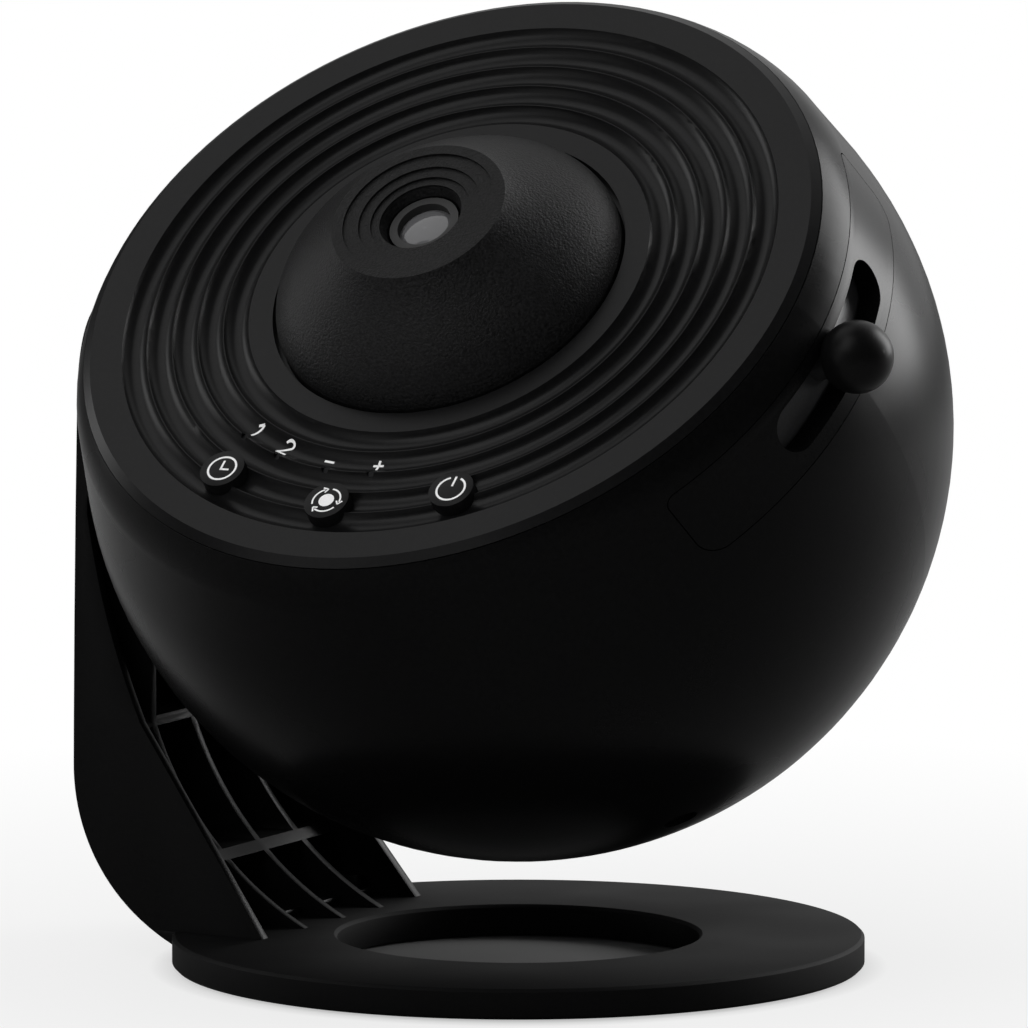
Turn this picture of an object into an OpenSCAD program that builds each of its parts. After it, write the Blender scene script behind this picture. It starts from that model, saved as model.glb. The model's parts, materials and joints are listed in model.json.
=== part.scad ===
// Home planetarium projector: a ball that tilts on a one-armed stand and throws a film disc through
// the lens port in its face. Millimetres. The origin is the middle of the base where it rests, +Z is
// up, the tilt pivot runs along X, and the face of the ball looks up and towards -Y.

/* [Ball] */
// Outer radius of the ball
ball_r = 82.5; // [81.5:0.25:84]
// Wall thickness of the ball shell
ball_wall = 2.2; // [2:0.1:2.6]
// Radius of the rounded shoulder under the face
shoulder_r = 17.4; // [17:0.1:17.6]
// Distance of the shoulder's middle from the axis of the face
shoulder_ring_r = 60.2; // [60:0.1:60.4]
// Height of the shoulder's middle above the middle of the ball
shoulder_z = 28.6; // [28.2:0.1:28.8]
// Tilt of the face away from straight up, in degrees
ball_tilt = 40.6; // [25:0.1:60]
// Height of the tilt pivot above the table
pivot_height = 103.5; // [102:0.5:110]
// Open seam between the pieces of the ball
seam = 0.2; // [0.15:0.05:0.3]

/* [Face] */
// Distance of the face from the middle of the ball
face_z = 41.3; // [40.5:0.1:42]
// Height of the bevel round the face
bevel_h = 1.15; // [1:0.05:1.4]
// Width of the bevel round the face
bevel_w = 1.7; // [1.5:0.1:2]
// Width of the flat rim outside the grooves
rim_w = 6.3; // [6:0.1:6.6]
// Number of round grooves in the face
groove_n = 5; // [3:1:5]
// Distance from one groove to the next
groove_pitch = 5.1; // [4.9:0.05:5.2]
// Depth of each groove
groove_d = 1.5; // [1:0.1:1.6]
// Thickness of the face panel
panel_t = 3.5; // [3.4:0.1:3.9]

/* [Lens hood] */
// Radius of the hole for the hood in the face
hood_hole_r = 35; // [34.6:0.1:35.4]
// Gap round the foot of the hood
hood_gap = 0.8; // [0.5:0.1:1]
// Height of the hood above the face
hood_h = 17.8; // [17.4:0.1:18.6]
// Radius of the flat top of the hood
hood_top_r = 17.15; // [16.6:0.05:17.6]
// Wall thickness of the hood
hood_wall = 2; // [1.6:0.1:2.2]
// Radius of the lens port in the hood
port_r = 7.3; // [7.2:0.05:7.6]
// How far the hood pulls off in its guide
hood_travel = 12; // [8:1:16]

/* [Buttons] */
// Radius of a button
button_r = 4.4; // [4:0.1:4.6]
// Distance of the buttons from the middle of the face
button_ring_r = 58.4; // [57.8:0.1:59]
// Height of a button above the face
button_h = 1.2; // [1:0.1:1.6]
// Travel of a button
button_travel = 0.8; // [0.5:0.1:0.9]
// Radius of an indicator hole
lamp_r = 0.8; // [0.6:0.05:0.9]
// Distance of the indicator holes from the middle of the face
lamp_ring_r = 49.8; // [49.4:0.1:50.2]

/* [Focus] */
// Radius of the focus knob
knob_r = 6.9; // [6.4:0.1:7.1]
// Radius of the stem of the focus knob
stem_r = 3; // [2.6:0.1:3.2]
// Half the width of the focus slot
slot_r = 4.8; // [4.7:0.1:5]
// Half the length of the focus slot
slot_half = 22.8; // [22:0.2:23.4]
// Height of the slot's middle above the middle of the ball
slot_z = 26.3; // [26:0.1:26.6]
// How far the focus knob turns to each side, in degrees
focus_turn = 13; // [8:1:13]
// How far the lens slides to each side
lens_travel = 2; // [1:0.5:2]

/* [Side cover] */
// Lower edge of the side cover above the middle of the ball
cover_z0 = 18.5; // [18:0.1:18.7]
// Upper edge of the side cover above the middle of the ball
cover_z1 = 33.7; // [33.6:0.1:34]
// Half the length of the side cover
cover_half = 45.2; // [44.4:0.2:46]
// Radius of the lower corners of the side cover
cover_corner_r = 4.2; // [3.4:0.2:5]

/* [Optics] */
// Radius of the lens barrel
barrel_r = 17; // [16.5:0.1:17.4]
// Radius of the barrel's nose
nose_r = 6.8; // [6.6:0.05:6.9]
// Radius of the front lens
front_lens_r = 5.6; // [5.4:0.05:5.7]
// Radius of the film disc
film_r = 27.5; // [26.5:0.1:28]
// Radius of the condenser lens
condenser_r = 15; // [14:0.2:16]

/* [Gear train] */
// Tooth module of the disc drive
tooth_m = 1; // [0.95:0.01:1.05]
// Teeth on the disc carrier
carrier_teeth = 64; // [62:1:66]
// Teeth on the motor pinion
pinion_teeth = 12; // [11:1:14]
// Radius of the motor shaft
motor_shaft_r = 1; // [0.8:0.1:1.2]

/* [Stand] */
// Outer radius of the base ring
base_r = 65.9; // [65:0.1:68]
// Radius of the hole in the base ring
base_hole_r = 34.5; // [33.5:0.1:35]
// Height of the base ring above the table
base_h = 6.3; // [6.2:0.1:7]
// How far the foot pads stand out below the base
pad_out = 0.5; // [0.4:0.1:0.6]
// Radius of a foot pad
pad_r = 5; // [4:0.2:5.6]
// Radius of the arm's curved back
arm_back_r = 58.1; // [57:0.1:60]
// Space between the ball and the arm's back
arm_space = 6.4; // [6.2:0.1:7]
// Radius of the bend from the arm down to the base
arm_bend_r = 40; // [38:0.2:41]
// Half the width of the arm at the base
arm_foot_half = 31.2; // [30.6:0.1:32]
// Half the width of the arm at the pivot
arm_top_half = 20.4; // [19.8:0.1:22]
// Thickness of the arm's back skin
arm_skin = 2.4; // [2.2:0.1:2.8]
// Thickness of the arm's side walls
arm_side = 2.2; // [1.8:0.1:2.6]
// Thickness of the arm's ribs
rib_t = 1.8; // [1.5:0.1:2]
// Distance from one long rib to the next
rib_pitch = 14.5; // [14:0.1:15]

/* [Pivot] */
// Radius of the pivot shaft
shaft_r = 8; // [7.6:0.1:8.2]
// Running clearance of every turning and sliding fit
fit = 0.05; // [0.03:0.01:0.08]
// Radius of the arm's pivot boss
boss_r = 17; // [16.4:0.1:17.4]
// Depth of the hub recess in the side of the ball
hub_depth = 3.5; // [3.4:0.1:3.7]
// Radius of the small screws
screw_r = 1.5; // [1.2:0.1:1.6]

/* [Hidden] */
$fn = 96;
smooth = 160;         // sides of the large round forms
big = 200;            // longer than anything in the model, for cutting tools
sink = 0.1;           // how far a feature reaches into the wall that carries it

// Shoulder: the outline leaves the sphere on a straight line and rounds in to the rim
shoulder_reach = norm([shoulder_ring_r, shoulder_z]) + shoulder_r;
shoulder_a = atan2(shoulder_z, shoulder_ring_r)
    - acos((ball_r - shoulder_r) / norm([shoulder_ring_r, shoulder_z]));
shoulder_nick = 0.02; // the straight line runs this far inside the two rounds that it joins

// Face
rim_z = face_z - bevel_h;
edge_r = shoulder_ring_r + sqrt(pow(shoulder_r, 2) - pow(rim_z - shoulder_z, 2));
rim_r = edge_r - bevel_w;
groove_out_r = rim_r - rim_w;
ridge_w = 0.16;
groove_half = (groove_pitch - ridge_w) / 2;
groove_tool_r = (groove_half * groove_half + groove_d * groove_d) / (2 * groove_d);
panel_z = face_z - panel_t;
inner_r = ball_r - ball_wall;
plate_r = sqrt(inner_r * inner_r - rim_z * rim_z) - 0.3;
panel_seat_r = plate_r - 4;
collar_t = 2;
collar_z = panel_z - 7;
panel_screw_ring_r = plate_r - 2.2;
panel_screw_top = face_z - 1.2;
panel_screw_angles = [60, 120, 180, 240, 300];

// Lens hood
hood_r = hood_hole_r - hood_gap;
hood_guide_r = hood_r + fit;
hood_top = face_z + hood_h;
terrace = 0.45;       // drop of each step of the lens port
port_steps = [15, 12.04, 9.8, 8.14];

// Buttons, in degrees round the face
timer_a = -116;
rotate_a = -90.6;
power_a = -66;
button_angles = [timer_a, rotate_a, power_a];
lamp_angles = [-120.8, -109.5, -96, -84.8];
button_top = face_z + button_h;
button_play = 0.3;
flange_z = panel_z - button_play;
flange_h = 1.4;
stem_h = 1.9;
switch_h = 1.5;
board_t = 1.5;
board_gap = 0.4;      // stays between a pressed button and its switch
board_top = flange_z - flange_h - stem_h - button_travel - board_gap - switch_h;

// Focus
shield_r = ball_r - 4.6;
shield_t = 1.4;
shield_gap = 0.5;
shield_a = 37;        // the shield reaches this far to each side, in degrees
shield_top = 33.6;
stem_a = -1.2;
stem_lean = 18.9;
knob_out = 5.4;       // height of the knob's middle over the ball
knob_reach = ball_r + knob_out;
knob_gap = 0.4;       // the knob's underside clears the ball by this
web_z = 20;
web_t = 2.5;
web_w = 16;
slot_lip_t = 1.1;
frame_t_side = 1.4;   // thickness of the frame behind the side cover
frame_lap = 0.9;      // how far that frame laps under the cover

// Optics, along the axis of the ball. Zero is the underside of the optics frame.
frame_t = 2.5;
frame_r = 46;
frame_post_r = 3.5;
frame_post_angles = [40, 140, 220, 320];
post_ring_r = 54;
leg_angles = [50, 130, 230, 310];
leg_ring_r = 38;
holder_r = 20;
holder_flange_t = 2.5;
sink_r = 26;
sink_z = -20;
sink_t = 4;
fin_h = 11;
sink_angles = [0, 90, 180, 270];
sink_screw_ring_r = 22.3;
lamp_board_t = 1.6;
carrier_h = 3;
carrier_z = frame_t + 0.3;
holder_top = carrier_z + carrier_h - 0.4;   // the disc turns over it
film_t = 0.8;
clip_t = 0.8;
carrier_pitch_r = tooth_m * carrier_teeth / 2;
pinion_pitch_r = tooth_m * pinion_teeth / 2;
gear_distance = carrier_pitch_r + pinion_pitch_r;
motor_a = 180;
motor_r = 7.5;
motor_h = 17;
motor_screw_r = 0.9;
motor_head_r = 1.6;
motor_head_h = 1;
barrel_z = 12;
barrel_wall = 1.4;
barrel_step_z = 33.5;
nose_top = hood_top - 3.4;
front_lens_z = nose_top - 4.5;
front_lens_edge = 2.6;
front_bevel_w = 1.2;
front_bevel_h = 0.7;
retainer_w = 0.35;
housing_wall = 5;
housing_r = barrel_r + fit + housing_wall;
housing_z = 9;
housing_top = 29.5;
focus_z = 18;
focus_top = 27;
focus_wall = 4;
cam_z = 22.5;
cam_pin_r = 1.2;

// Boards
board_post_r = 62.6;
board_post_angles = [-133, -103, -78, -49];
main_board_z = -44;
main_board_t = 1.6;
board_x = 32;
board_y = 22;
board_boss_x = 26;
board_boss_y = 16;
board_screw_l = 8;

// Stand
arm_back_x = -(ball_r + arm_space);
arm_axis_x = arm_back_x + arm_back_r;
arm_bend_z = arm_bend_r - 3.5;
base_z = pad_out;
pocket_top = base_h - 1.8;
cover_top = pad_out + 1.7;
cover_bottom = pad_out + 0.4;
pocket_r0 = base_hole_r + 4.2;
pocket_r1 = base_r - 4.2;
seat_w = 1;
weight_cut_x = -36;
pad_angles = [20, 92, 164, 236, 308];
pad_ring_r = (pocket_r0 + pocket_r1) / 2;
base_screw_angles = [56, 128, 200, 272, 344];
arm_screw_at = [[-52, 24], [-52, -24], [-56, 7.25], [-56, -7.25]];
arm_foot_r = arm_back_r - arm_bend_r + sqrt(pow(arm_bend_r, 2) - pow(arm_bend_z - base_h, 2));
foot_half = arm_foot_half - (arm_foot_half - arm_top_half) * base_h / pivot_height;
foot_corner_x = arm_axis_x - sqrt(pow(arm_foot_r, 2) - pow(foot_half, 2));
foot_corner_r = norm([foot_corner_x, foot_half]);
corner_a = atan2(foot_half, foot_corner_x);
flare_bend_r = 30;
flare_out = foot_corner_r - base_r;
flare_a = acos((pow(foot_corner_r, 2) + pow(base_r + flare_bend_r, 2) - pow(flare_bend_r, 2))
    / (2 * foot_corner_r * (base_r + flare_bend_r)));
flare_reach = base_r + 0.01;
function dir2(a) = [cos(a), sin(a)];
arm_plate_x = -47;      // front edge of the plate in the arm's foot
arm_screw_boss_r = 3.4;
arm_boss_top = 10.5;

// Pivot, along X
hub_x = -(ball_r - hub_depth);
hub_t = 4.5;
hub_in_x = hub_x + hub_t;
hub_recess_r = boss_r + 2;
washer_t = 0.6;
boss_x = hub_x - washer_t - 0.2;
bush_t = 2;
bush_r = shaft_r + fit + bush_t;
bush_flange_t = 1;
bush_seat_x = arm_back_x + 5;
bush_end_x = bush_seat_x - bush_flange_t;
shaft_end_x = bush_end_x - 0.2;
shaft_washer_t = 0.8;
shaft_screw_r = 2;
shaft_head_r = 4.2;
shaft_head_h = 1.5;
cap_r = 15.5;
cap_seat_x = arm_back_x + 4;

// Rear cover
rear_z = -(ball_r * 0.8085);
rear_seat_z = rear_z - seam;
rear_inner_r = sqrt(inner_r * inner_r - rear_seat_z * rear_seat_z);
rear_screw_ring_r = rear_inner_r - 2.6;

// Places a piece of the ball: its own Z is the axis of the face
module in_ball() translate([0, 0, pivot_height]) rotate([ball_tilt, 0, 0]) children();

// Extrudes a shape drawn in (y, z) along X
module along_x(x0, x1) translate([x0, 0, 0]) rotate([90, 0, 90]) linear_extrude(x1 - x0) children();

// Extrudes a shape drawn in (x, z) along Y, the same to both sides
module along_y(half) rotate([90, 0, 0]) linear_extrude(2 * half, center = true) children();

// A flat ring between two radii and two heights
module ring(r_out, r_in, z0, z1, sides = $fn)
    rotate_extrude($fn = sides) translate([r_in, z0]) square([r_out - r_in, z1 - z0]);

// A round bar along X
module bar_x(r, x0, x1) translate([x0, 0, 0]) rotate([0, 90, 0]) cylinder(r = r, h = x1 - x0);

// A screw that points up, its head below z = 0
module screw(r, length, head_r, head_h) {
    cylinder(r = r, h = length);
    translate([0, 0, -head_h]) cylinder(r = head_r, h = head_h);
}

// ---------------------------------------------------------------- stand

// Section of the arm's outer form, drawn in (radius, z) about its own upright axis
module arm_section(inset) {
    r = arm_back_r - inset;
    bend = arm_bend_r - inset;
    translate([0, arm_bend_z]) square([r, big]);
    translate([0, arm_bend_z - bend]) square([r - bend, bend + sink]);
    intersection() {
        translate([r - bend, arm_bend_z]) circle(r = bend, $fn = smooth);
        translate([r - bend - sink, arm_bend_z - bend - sink]) square([bend + 1, bend + 2 * sink]);
    }
}

// The arm's outer form, smaller by the inset
module arm_form(inset = 0)
    translate([arm_axis_x, 0, 0]) rotate_extrude($fn = smooth) arm_section(inset);

// Outline of the arm seen along X, smaller by the inset
module arm_outline(inset = 0) {
    foot = arm_foot_half - inset;
    top = arm_top_half - inset;
    polygon([[-foot, 0], [foot, 0], [top, pivot_height], [-top, pivot_height]]);
    translate([0, pivot_height]) circle(r = top, $fn = smooth);
}

// Space in front of the side walls, drawn in (x, z)
module wall_front() {
    knee_z = 45.4;
    polygon([[-33.9, 0], [-68, knee_z], [big, knee_z], [big, 0]]);
    intersection() {
        translate([64.4, 114.8]) circle(r = 149.4, $fn = smooth);
        translate([-big, knee_z]) square([2 * big, pivot_height - 15 - knee_z]);
    }
}

// Space in front of the ribs, drawn in (x, z)
module rib_front() translate([-9.9, 65.7]) circle(r = 65.8, $fn = smooth);

// Room that the ball needs beside the arm
module ball_room() translate([0, 0, pivot_height]) sphere(r = shoulder_reach + 0.5, $fn = smooth);

module base_ring() color("#1a1a1b") difference() {
    chamfer = 0.6;
    union() {
        rotate_extrude($fn = smooth) polygon([
            [base_hole_r, base_z], [base_r - chamfer, base_z], [base_r, base_z + chamfer],
            [base_r, base_h - chamfer], [base_r - chamfer, base_h],
            [base_hole_r + chamfer, base_h], [base_hole_r, base_h - chamfer]]);
        // foot under the arm
        intersection() {
            arm_form();
            along_x(-big, -45) arm_outline();
            translate([-big / 2, -big / 2, base_z]) cube([big, big, base_h - base_z]);
        }
        // flare from the foot into the round of the ring
        intersection() {
            rotate_extrude($fn = smooth) polygon([
                [base_r - 8, base_z], [base_r - chamfer, base_z], [base_r + flare_out, base_h],
                [base_r - 8, base_h]]);
            for (s = [-1, 1]) linear_extrude(base_h) difference() {
                polygon([[0, 0], foot_corner_r * dir2(corner_a * s), flare_reach * dir2((corner_a - flare_a) * s)]);
                translate((base_r + flare_bend_r) * dir2((corner_a - flare_a) * s)) circle(r = flare_bend_r, $fn = smooth);
            }
        }
    }
    // pocket for the weight, open below, with a seat for the cover
    difference() {
        ring(pocket_r1, pocket_r0, base_z - sink, pocket_top, smooth);
        for (a = base_screw_angles) rotate(a) translate([pad_ring_r, 0, cover_top]) cylinder(r = 3.2, h = big);
    }
    ring(pocket_r1 + seat_w, pocket_r0 - seat_w, base_z - sink, cover_top, smooth);
    for (a = base_screw_angles) rotate(a) translate([pad_ring_r, 0, 0]) cylinder(r = screw_r, h = base_h - 0.9);
    for (p = arm_screw_at) translate([p.x, p.y, 0]) cylinder(r = screw_r + 0.2, h = big);
}

module base_weight() color("#8d9094") difference() {
    ring(pocket_r1 - 0.3, pocket_r0 + 0.3, cover_top, pocket_top, smooth);
    translate([-big + weight_cut_x, -big / 2, 0]) cube([big, big, big]);
    for (a = base_screw_angles) rotate(a) translate([pad_ring_r, 0, 0]) cylinder(r = 3.6, h = big);
}

module base_cover() color("#202022") difference() {
    ring(pocket_r1 + seat_w - 0.15, pocket_r0 - seat_w + 0.15, cover_bottom, cover_top, smooth);
    for (a = pad_angles) rotate(a) translate([pad_ring_r, 0, 0]) cylinder(r = pad_r, h = cover_bottom + 0.6);
    for (a = base_screw_angles) rotate(a) translate([pad_ring_r, 0, 0]) {
        cylinder(r = screw_r, h = big);
        cylinder(r = screw_r + 1.1, h = cover_bottom + 0.7);
    }
}

module base_screws() color("#b8babd")
    for (a = base_screw_angles) rotate(a) translate([pad_ring_r, 0, cover_bottom + 0.7])
        screw(screw_r, base_h - 0.9 - cover_bottom - 0.7, screw_r + 1.1, 0.7);

module foot_pads() color("#101010")
    for (a = pad_angles) rotate(a) translate([pad_ring_r, 0, 0]) cylinder(r = pad_r, h = cover_bottom + 0.6);

module stand_arm() color("#1a1a1b") difference() {
    cross_low = 18.2;
    cross_high = 42.8;
    foot_t = 1.6;
    union() {
        // back skin
        intersection() {
            difference() { arm_form(); arm_form(arm_skin); }
            along_x(-big, arm_axis_x) arm_outline();
        }
        // side walls and rounded top
        intersection() {
            arm_form();
            along_x(-big, arm_axis_x + 5) difference() { arm_outline(); arm_outline(arm_side); }
            along_y(arm_foot_half + 1) difference() {
                translate([-big, 0]) square([big, big]);
                wall_front();
            }
        }
        // long ribs, cross ribs and foot
        intersection() {
            arm_form();
            along_x(-big, arm_axis_x + 5) arm_outline();
            difference() {
                union() {
                    for (i = [-1, 0, 1]) translate([-big, i * rib_pitch - rib_t / 2, 0])
                        cube([big, rib_t, cross_high + rib_t]);
                    for (z = [cross_low, cross_high]) translate([-big, -big / 2, z]) cube([big, big, rib_t]);
                    translate([-big, -big / 2, 0]) cube([big + arm_plate_x, big, base_h + foot_t]);
                }
                along_y(big) rib_front();
            }
        }
        // ribs from the upper cross rib to the pivot boss
        intersection() {
            arm_form();
            along_x(-big, arm_axis_x) arm_outline();
            for (i = [-1, 1]) translate([-big, i * rib_pitch - rib_t / 2, cross_high])
                cube([big + arm_axis_x - 41, rib_t, pivot_height - cross_high]);
        }
        // pivot boss
        intersection() {
            arm_form();
            translate([0, 0, pivot_height]) bar_x(boss_r, arm_back_x - 1, boss_x);
        }
        // screw bosses
        intersection() {
            arm_form();
            for (p = arm_screw_at) translate([p.x, p.y, base_h]) cylinder(r = arm_screw_boss_r, h = arm_boss_top - base_h);
        }
    }
    // the arm stops on top of the base
    translate([-big, -big / 2, -big + base_h]) cube([big * 2, big, big]);
    for (p = arm_screw_at) translate([p.x, p.y, 0]) cylinder(r = screw_r, h = arm_boss_top - 1.5);
    // room for the ball, apart from the boss that enters its hub recess
    difference() {
        ball_room();
        translate([0, 0, pivot_height]) bar_x(boss_r, -big, boss_x);
    }
    translate([0, 0, pivot_height]) {
        bar_x(bush_r, -big, 0);
        bar_x(cap_r - 1.5, -big, bush_seat_x);
        bar_x(cap_r + fit, -big, cap_seat_x);
    }
}

module arm_screws() color("#b8babd")
    for (p = arm_screw_at) translate([p.x, p.y, pocket_top])
        screw(screw_r, arm_boss_top - 1.5 - pocket_top, screw_r + 1.4, 1.8);

module pivot_bush() color("#d9d6cc") translate([0, 0, pivot_height]) difference() {
    union() {
        bar_x(bush_r, bush_seat_x, boss_x);
        bar_x(bush_r + bush_t, bush_end_x, bush_seat_x);
    }
    bar_x(shaft_r + fit, -big, 0);
}

module friction_washer() color("#a9abae") translate([0, 0, pivot_height]) difference() {
    bar_x(boss_r - 1, boss_x, boss_x + washer_t);
    bar_x(shaft_r + 0.5, -big, 0);
}

// Cap over the end of the shaft, flush with the arm's back
module pivot_cap() color("#1a1a1b") difference() {
    intersection() {
        arm_form();
        translate([0, 0, pivot_height]) bar_x(cap_r, -big, cap_seat_x);
    }
    translate([0, 0, pivot_height]) {
        bar_x(cap_r - 1.9, shaft_end_x - shaft_washer_t - 0.35, 0);
        bar_x(shaft_head_r + 0.8, shaft_end_x - shaft_washer_t - shaft_head_h - 0.4, 0);
    }
}

// ---------------------------------------------------------------- ball casing

// Outline of the side cover in (y, z), grown or shrunk all round
module cover_outline(grow = 0) {
    y1 = cover_half + grow;
    z0 = cover_z0 - grow;
    z1 = cover_z1 + grow;
    low = cover_corner_r + grow;
    high = low / 2;
    translate([-y1, z0 + low]) square([2 * y1, z1 - high - z0 - low]);
    translate([-y1 + low, z0]) square([2 * (y1 - low), low + sink]);
    translate([-y1 + high, z1 - high - sink]) square([2 * (y1 - high), high + sink]);
    for (s = [-1, 1]) {
        translate([s * (y1 - low), z0 + low]) circle(r = low);
        translate([s * (y1 - high), z1 - high]) circle(r = high);
    }
}

// Outline of the focus slot in (y, z), grown all round
module slot_outline(grow = 0) {
    translate([-slot_half + slot_r, slot_z - slot_r - grow]) square([2 * (slot_half - slot_r), 2 * (slot_r + grow)]);
    for (s = [-1, 1]) translate([s * (slot_half - slot_r), slot_z]) circle(r = slot_r + grow);
}

// The ball's outer form with its shoulder, grown all round
module ball_form(grow = 0) rotate_extrude($fn = smooth) {
    shoulder_at = [shoulder_ring_r, shoulder_z];
    intersection() {
        circle(r = ball_r + grow, $fn = smooth);
        translate([0, -big / 2]) square([big, big]);
    }
    polygon([[0, 0], (ball_r + grow - shoulder_nick) * dir2(shoulder_a),
        shoulder_at + (shoulder_r + grow - shoulder_nick) * dir2(shoulder_a), shoulder_at]);
    translate(shoulder_at) circle(r = shoulder_r + grow, $fn = smooth);
}

// A layer of the ball between two radii
module ball_layer(r_out, r_in) difference() {
    sphere(r = r_out, $fn = smooth);
    sphere(r = r_in, $fn = smooth);
}

// Place of the power inlet, low on the right of the ball
inlet_turn = -53;
inlet_lean = 125;
inlet_r = 3.4;
module at_inlet() rotate(inlet_turn) rotate([0, inlet_lean, 0]) children();

// Places of the bosses under the main board; Z is 0 at the foot of the board's screws' tips
module at_board_bosses() for (s = [-1, 1], t = [-1, 1])
    translate([s * board_boss_x, t * board_boss_y, main_board_z - 10]) children();

// A tall wedge round an angle, for cutting ring sectors
module wedge(middle, half) rotate(middle) translate([0, 0, -big]) linear_extrude(2 * big)
    polygon([[0, 0], [big, -big * tan(half)], [big, big * tan(half)]]);

module at_motor() rotate(motor_a) translate([gear_distance, 0, 0]) children();
module at_motor_screws() for (s = [-1, 1]) translate([0, 5 * s, 0]) children();

module ball_shell() color("#161617") in_ball() difference() {
    union() {
        difference() {
            ball_form();
            sphere(r = inner_r, $fn = smooth);
            translate([0, 0, rim_z - seam]) cylinder(r = big, h = big);
            translate([0, 0, rear_z - big]) cylinder(r = big, h = big);
        }
        // seat of the face panel
        intersection() {
            sphere(r = inner_r + sink, $fn = smooth);
            ring(inner_r, panel_seat_r, panel_z - 3, panel_z, smooth);
        }
        // seat of the rear cover
        intersection() {
            sphere(r = inner_r + sink, $fn = smooth);
            ring(inner_r, rear_screw_ring_r - 2.6, rear_seat_z, rear_seat_z + 3, smooth);
        }
        // frame behind the side cover
        intersection() {
            ball_layer(inner_r + sink, inner_r - frame_t_side);
            along_x(30, big) difference() { cover_outline(2.6); cover_outline(-frame_lap); }
        }
        // hub of the pivot
        intersection() {
            sphere(r = ball_r - 0.5, $fn = smooth);
            bar_x(hub_recess_r + 3, hub_x, hub_in_x);
        }
        // seat of the power inlet
        intersection() {
            sphere(r = inner_r + sink, $fn = smooth);
            at_inlet() translate([0, 0, inner_r - 2.4]) cylinder(r = inlet_r + 3.2, h = 4);
        }
    }
    bar_x(hub_recess_r, -big, hub_x);
    bar_x(shaft_r, -big, 0);
    for (a = [0, 120, 240]) rotate([a, 0, 0]) translate([0, 0, 12]) bar_x(screw_r, hub_x + 1, 0);
    // window of the side cover
    intersection() {
        ball_layer(ball_r + 3, inner_r - fit);
        along_x(30, big) cover_outline(seam);
    }
    along_x(30, big) cover_outline(-frame_lap);
    at_inlet() cylinder(r = inlet_r, h = big);
    for (a = panel_screw_angles) rotate(a) translate([panel_screw_ring_r, 0, 0]) cylinder(r = screw_r, h = face_z);
    for (a = [45, 135, 225, 315]) rotate(a) translate([rear_screw_ring_r, 0, rear_seat_z - 1]) cylinder(r = screw_r, h = 6);
}

module face_panel() color("#1b1b1c") in_ball() difference() {
    union() {
        rotate_extrude($fn = smooth) polygon([
            [hood_hole_r, panel_z], [plate_r, panel_z], [plate_r, rim_z], [edge_r, rim_z],
            [rim_r, face_z], [hood_hole_r, face_z]]);
        // collar that guides the hood
        ring(hood_guide_r + collar_t, hood_guide_r, collar_z, panel_z + 1, smooth);
        ring(hood_guide_r + 1, hood_r - hood_wall - 0.4, collar_z - 1.2, collar_z, smooth);
        // posts that carry the button board
        for (a = board_post_angles) rotate(a) translate([board_post_r, 0, board_top])
            cylinder(r = 2, h = panel_z - board_top + 0.5);
        // posts that carry the optics frame
        for (a = frame_post_angles) rotate(a) translate([post_ring_r, 0, frame_t])
            cylinder(r = frame_post_r, h = panel_z - frame_t + 0.5);
    }
    for (i = [0 : groove_n - 1]) rotate_extrude($fn = smooth)
        translate([groove_out_r - (i + 0.5) * groove_pitch, face_z + groove_tool_r - groove_d]) circle(r = groove_tool_r, $fn = 64);
    for (a = button_angles) rotate(a) translate([button_ring_r, 0, 0]) cylinder(r = button_r + fit, h = big);
    for (a = lamp_angles) rotate(a) translate([lamp_ring_r, 0, 0]) cylinder(r = lamp_r, h = big);
    for (a = panel_screw_angles) rotate(a) translate([panel_screw_ring_r, 0, 0]) cylinder(r = screw_r, h = panel_screw_top);
    for (a = frame_post_angles) rotate(a) translate([post_ring_r, 0, 0]) cylinder(r = screw_r, h = frame_t + 10);
    for (a = board_post_angles) rotate(a) translate([board_post_r, 0, 0]) cylinder(r = 1, h = board_top + 4);
}

module panel_screws() color("#b8babd") in_ball()
    for (a = panel_screw_angles) rotate(a) translate([panel_screw_ring_r, 0, panel_z - 3])
        screw(screw_r, panel_screw_top - panel_z + 3, screw_r + 1, 1.6);

module side_cover() color("#18181a") in_ball() difference() {
    union() {
        intersection() {
            difference() { ball_form(); sphere(r = inner_r, $fn = smooth); }
            along_x(30, big) cover_outline();
        }
        // wall round the slot
        intersection() {
            ball_layer(inner_r + sink, shield_r + shield_gap);
            along_x(30, big) slot_outline(slot_lip_t);
        }
    }
    along_x(30, big) slot_outline();
}

module rear_cover() color("#18181a") in_ball() difference() {
    slots = 7;
    union() {
        difference() {
            ball_layer(ball_r, inner_r);
            translate([0, 0, rear_seat_z]) cylinder(r = big, h = big);
        }
        intersection() {
            sphere(r = inner_r + sink, $fn = smooth);
            ring(inner_r, rear_screw_ring_r - 2.6, rear_seat_z - 2.2, rear_seat_z, smooth);
        }
        // bosses that carry the main board
        intersection() {
            sphere(r = inner_r + sink, $fn = smooth);
            at_board_bosses() translate([0, 0, -big]) cylinder(r = 3, h = big + 10);
        }
    }
    at_board_bosses() translate([0, 0, 10 - board_screw_l]) cylinder(r = screw_r, h = big);
    for (a = [45, 135, 225, 315]) rotate(a) translate([rear_screw_ring_r, 0, -big]) {
        cylinder(r = screw_r, h = big);
        cylinder(r = screw_r + 1.5, h = big + rear_seat_z - 2);
    }
    for (i = [0 : slots - 1]) translate([-18, (i - (slots - 1) / 2) * 6 - 1.2, -big]) cube([36, 2.4, big]);
}

module rear_cover_screws() color("#b8babd") in_ball()
    for (a = [45, 135, 225, 315]) rotate(a) translate([rear_screw_ring_r, 0, rear_seat_z - 2])
        screw(screw_r, 6.5, screw_r + 1.2, 1.6);

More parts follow.
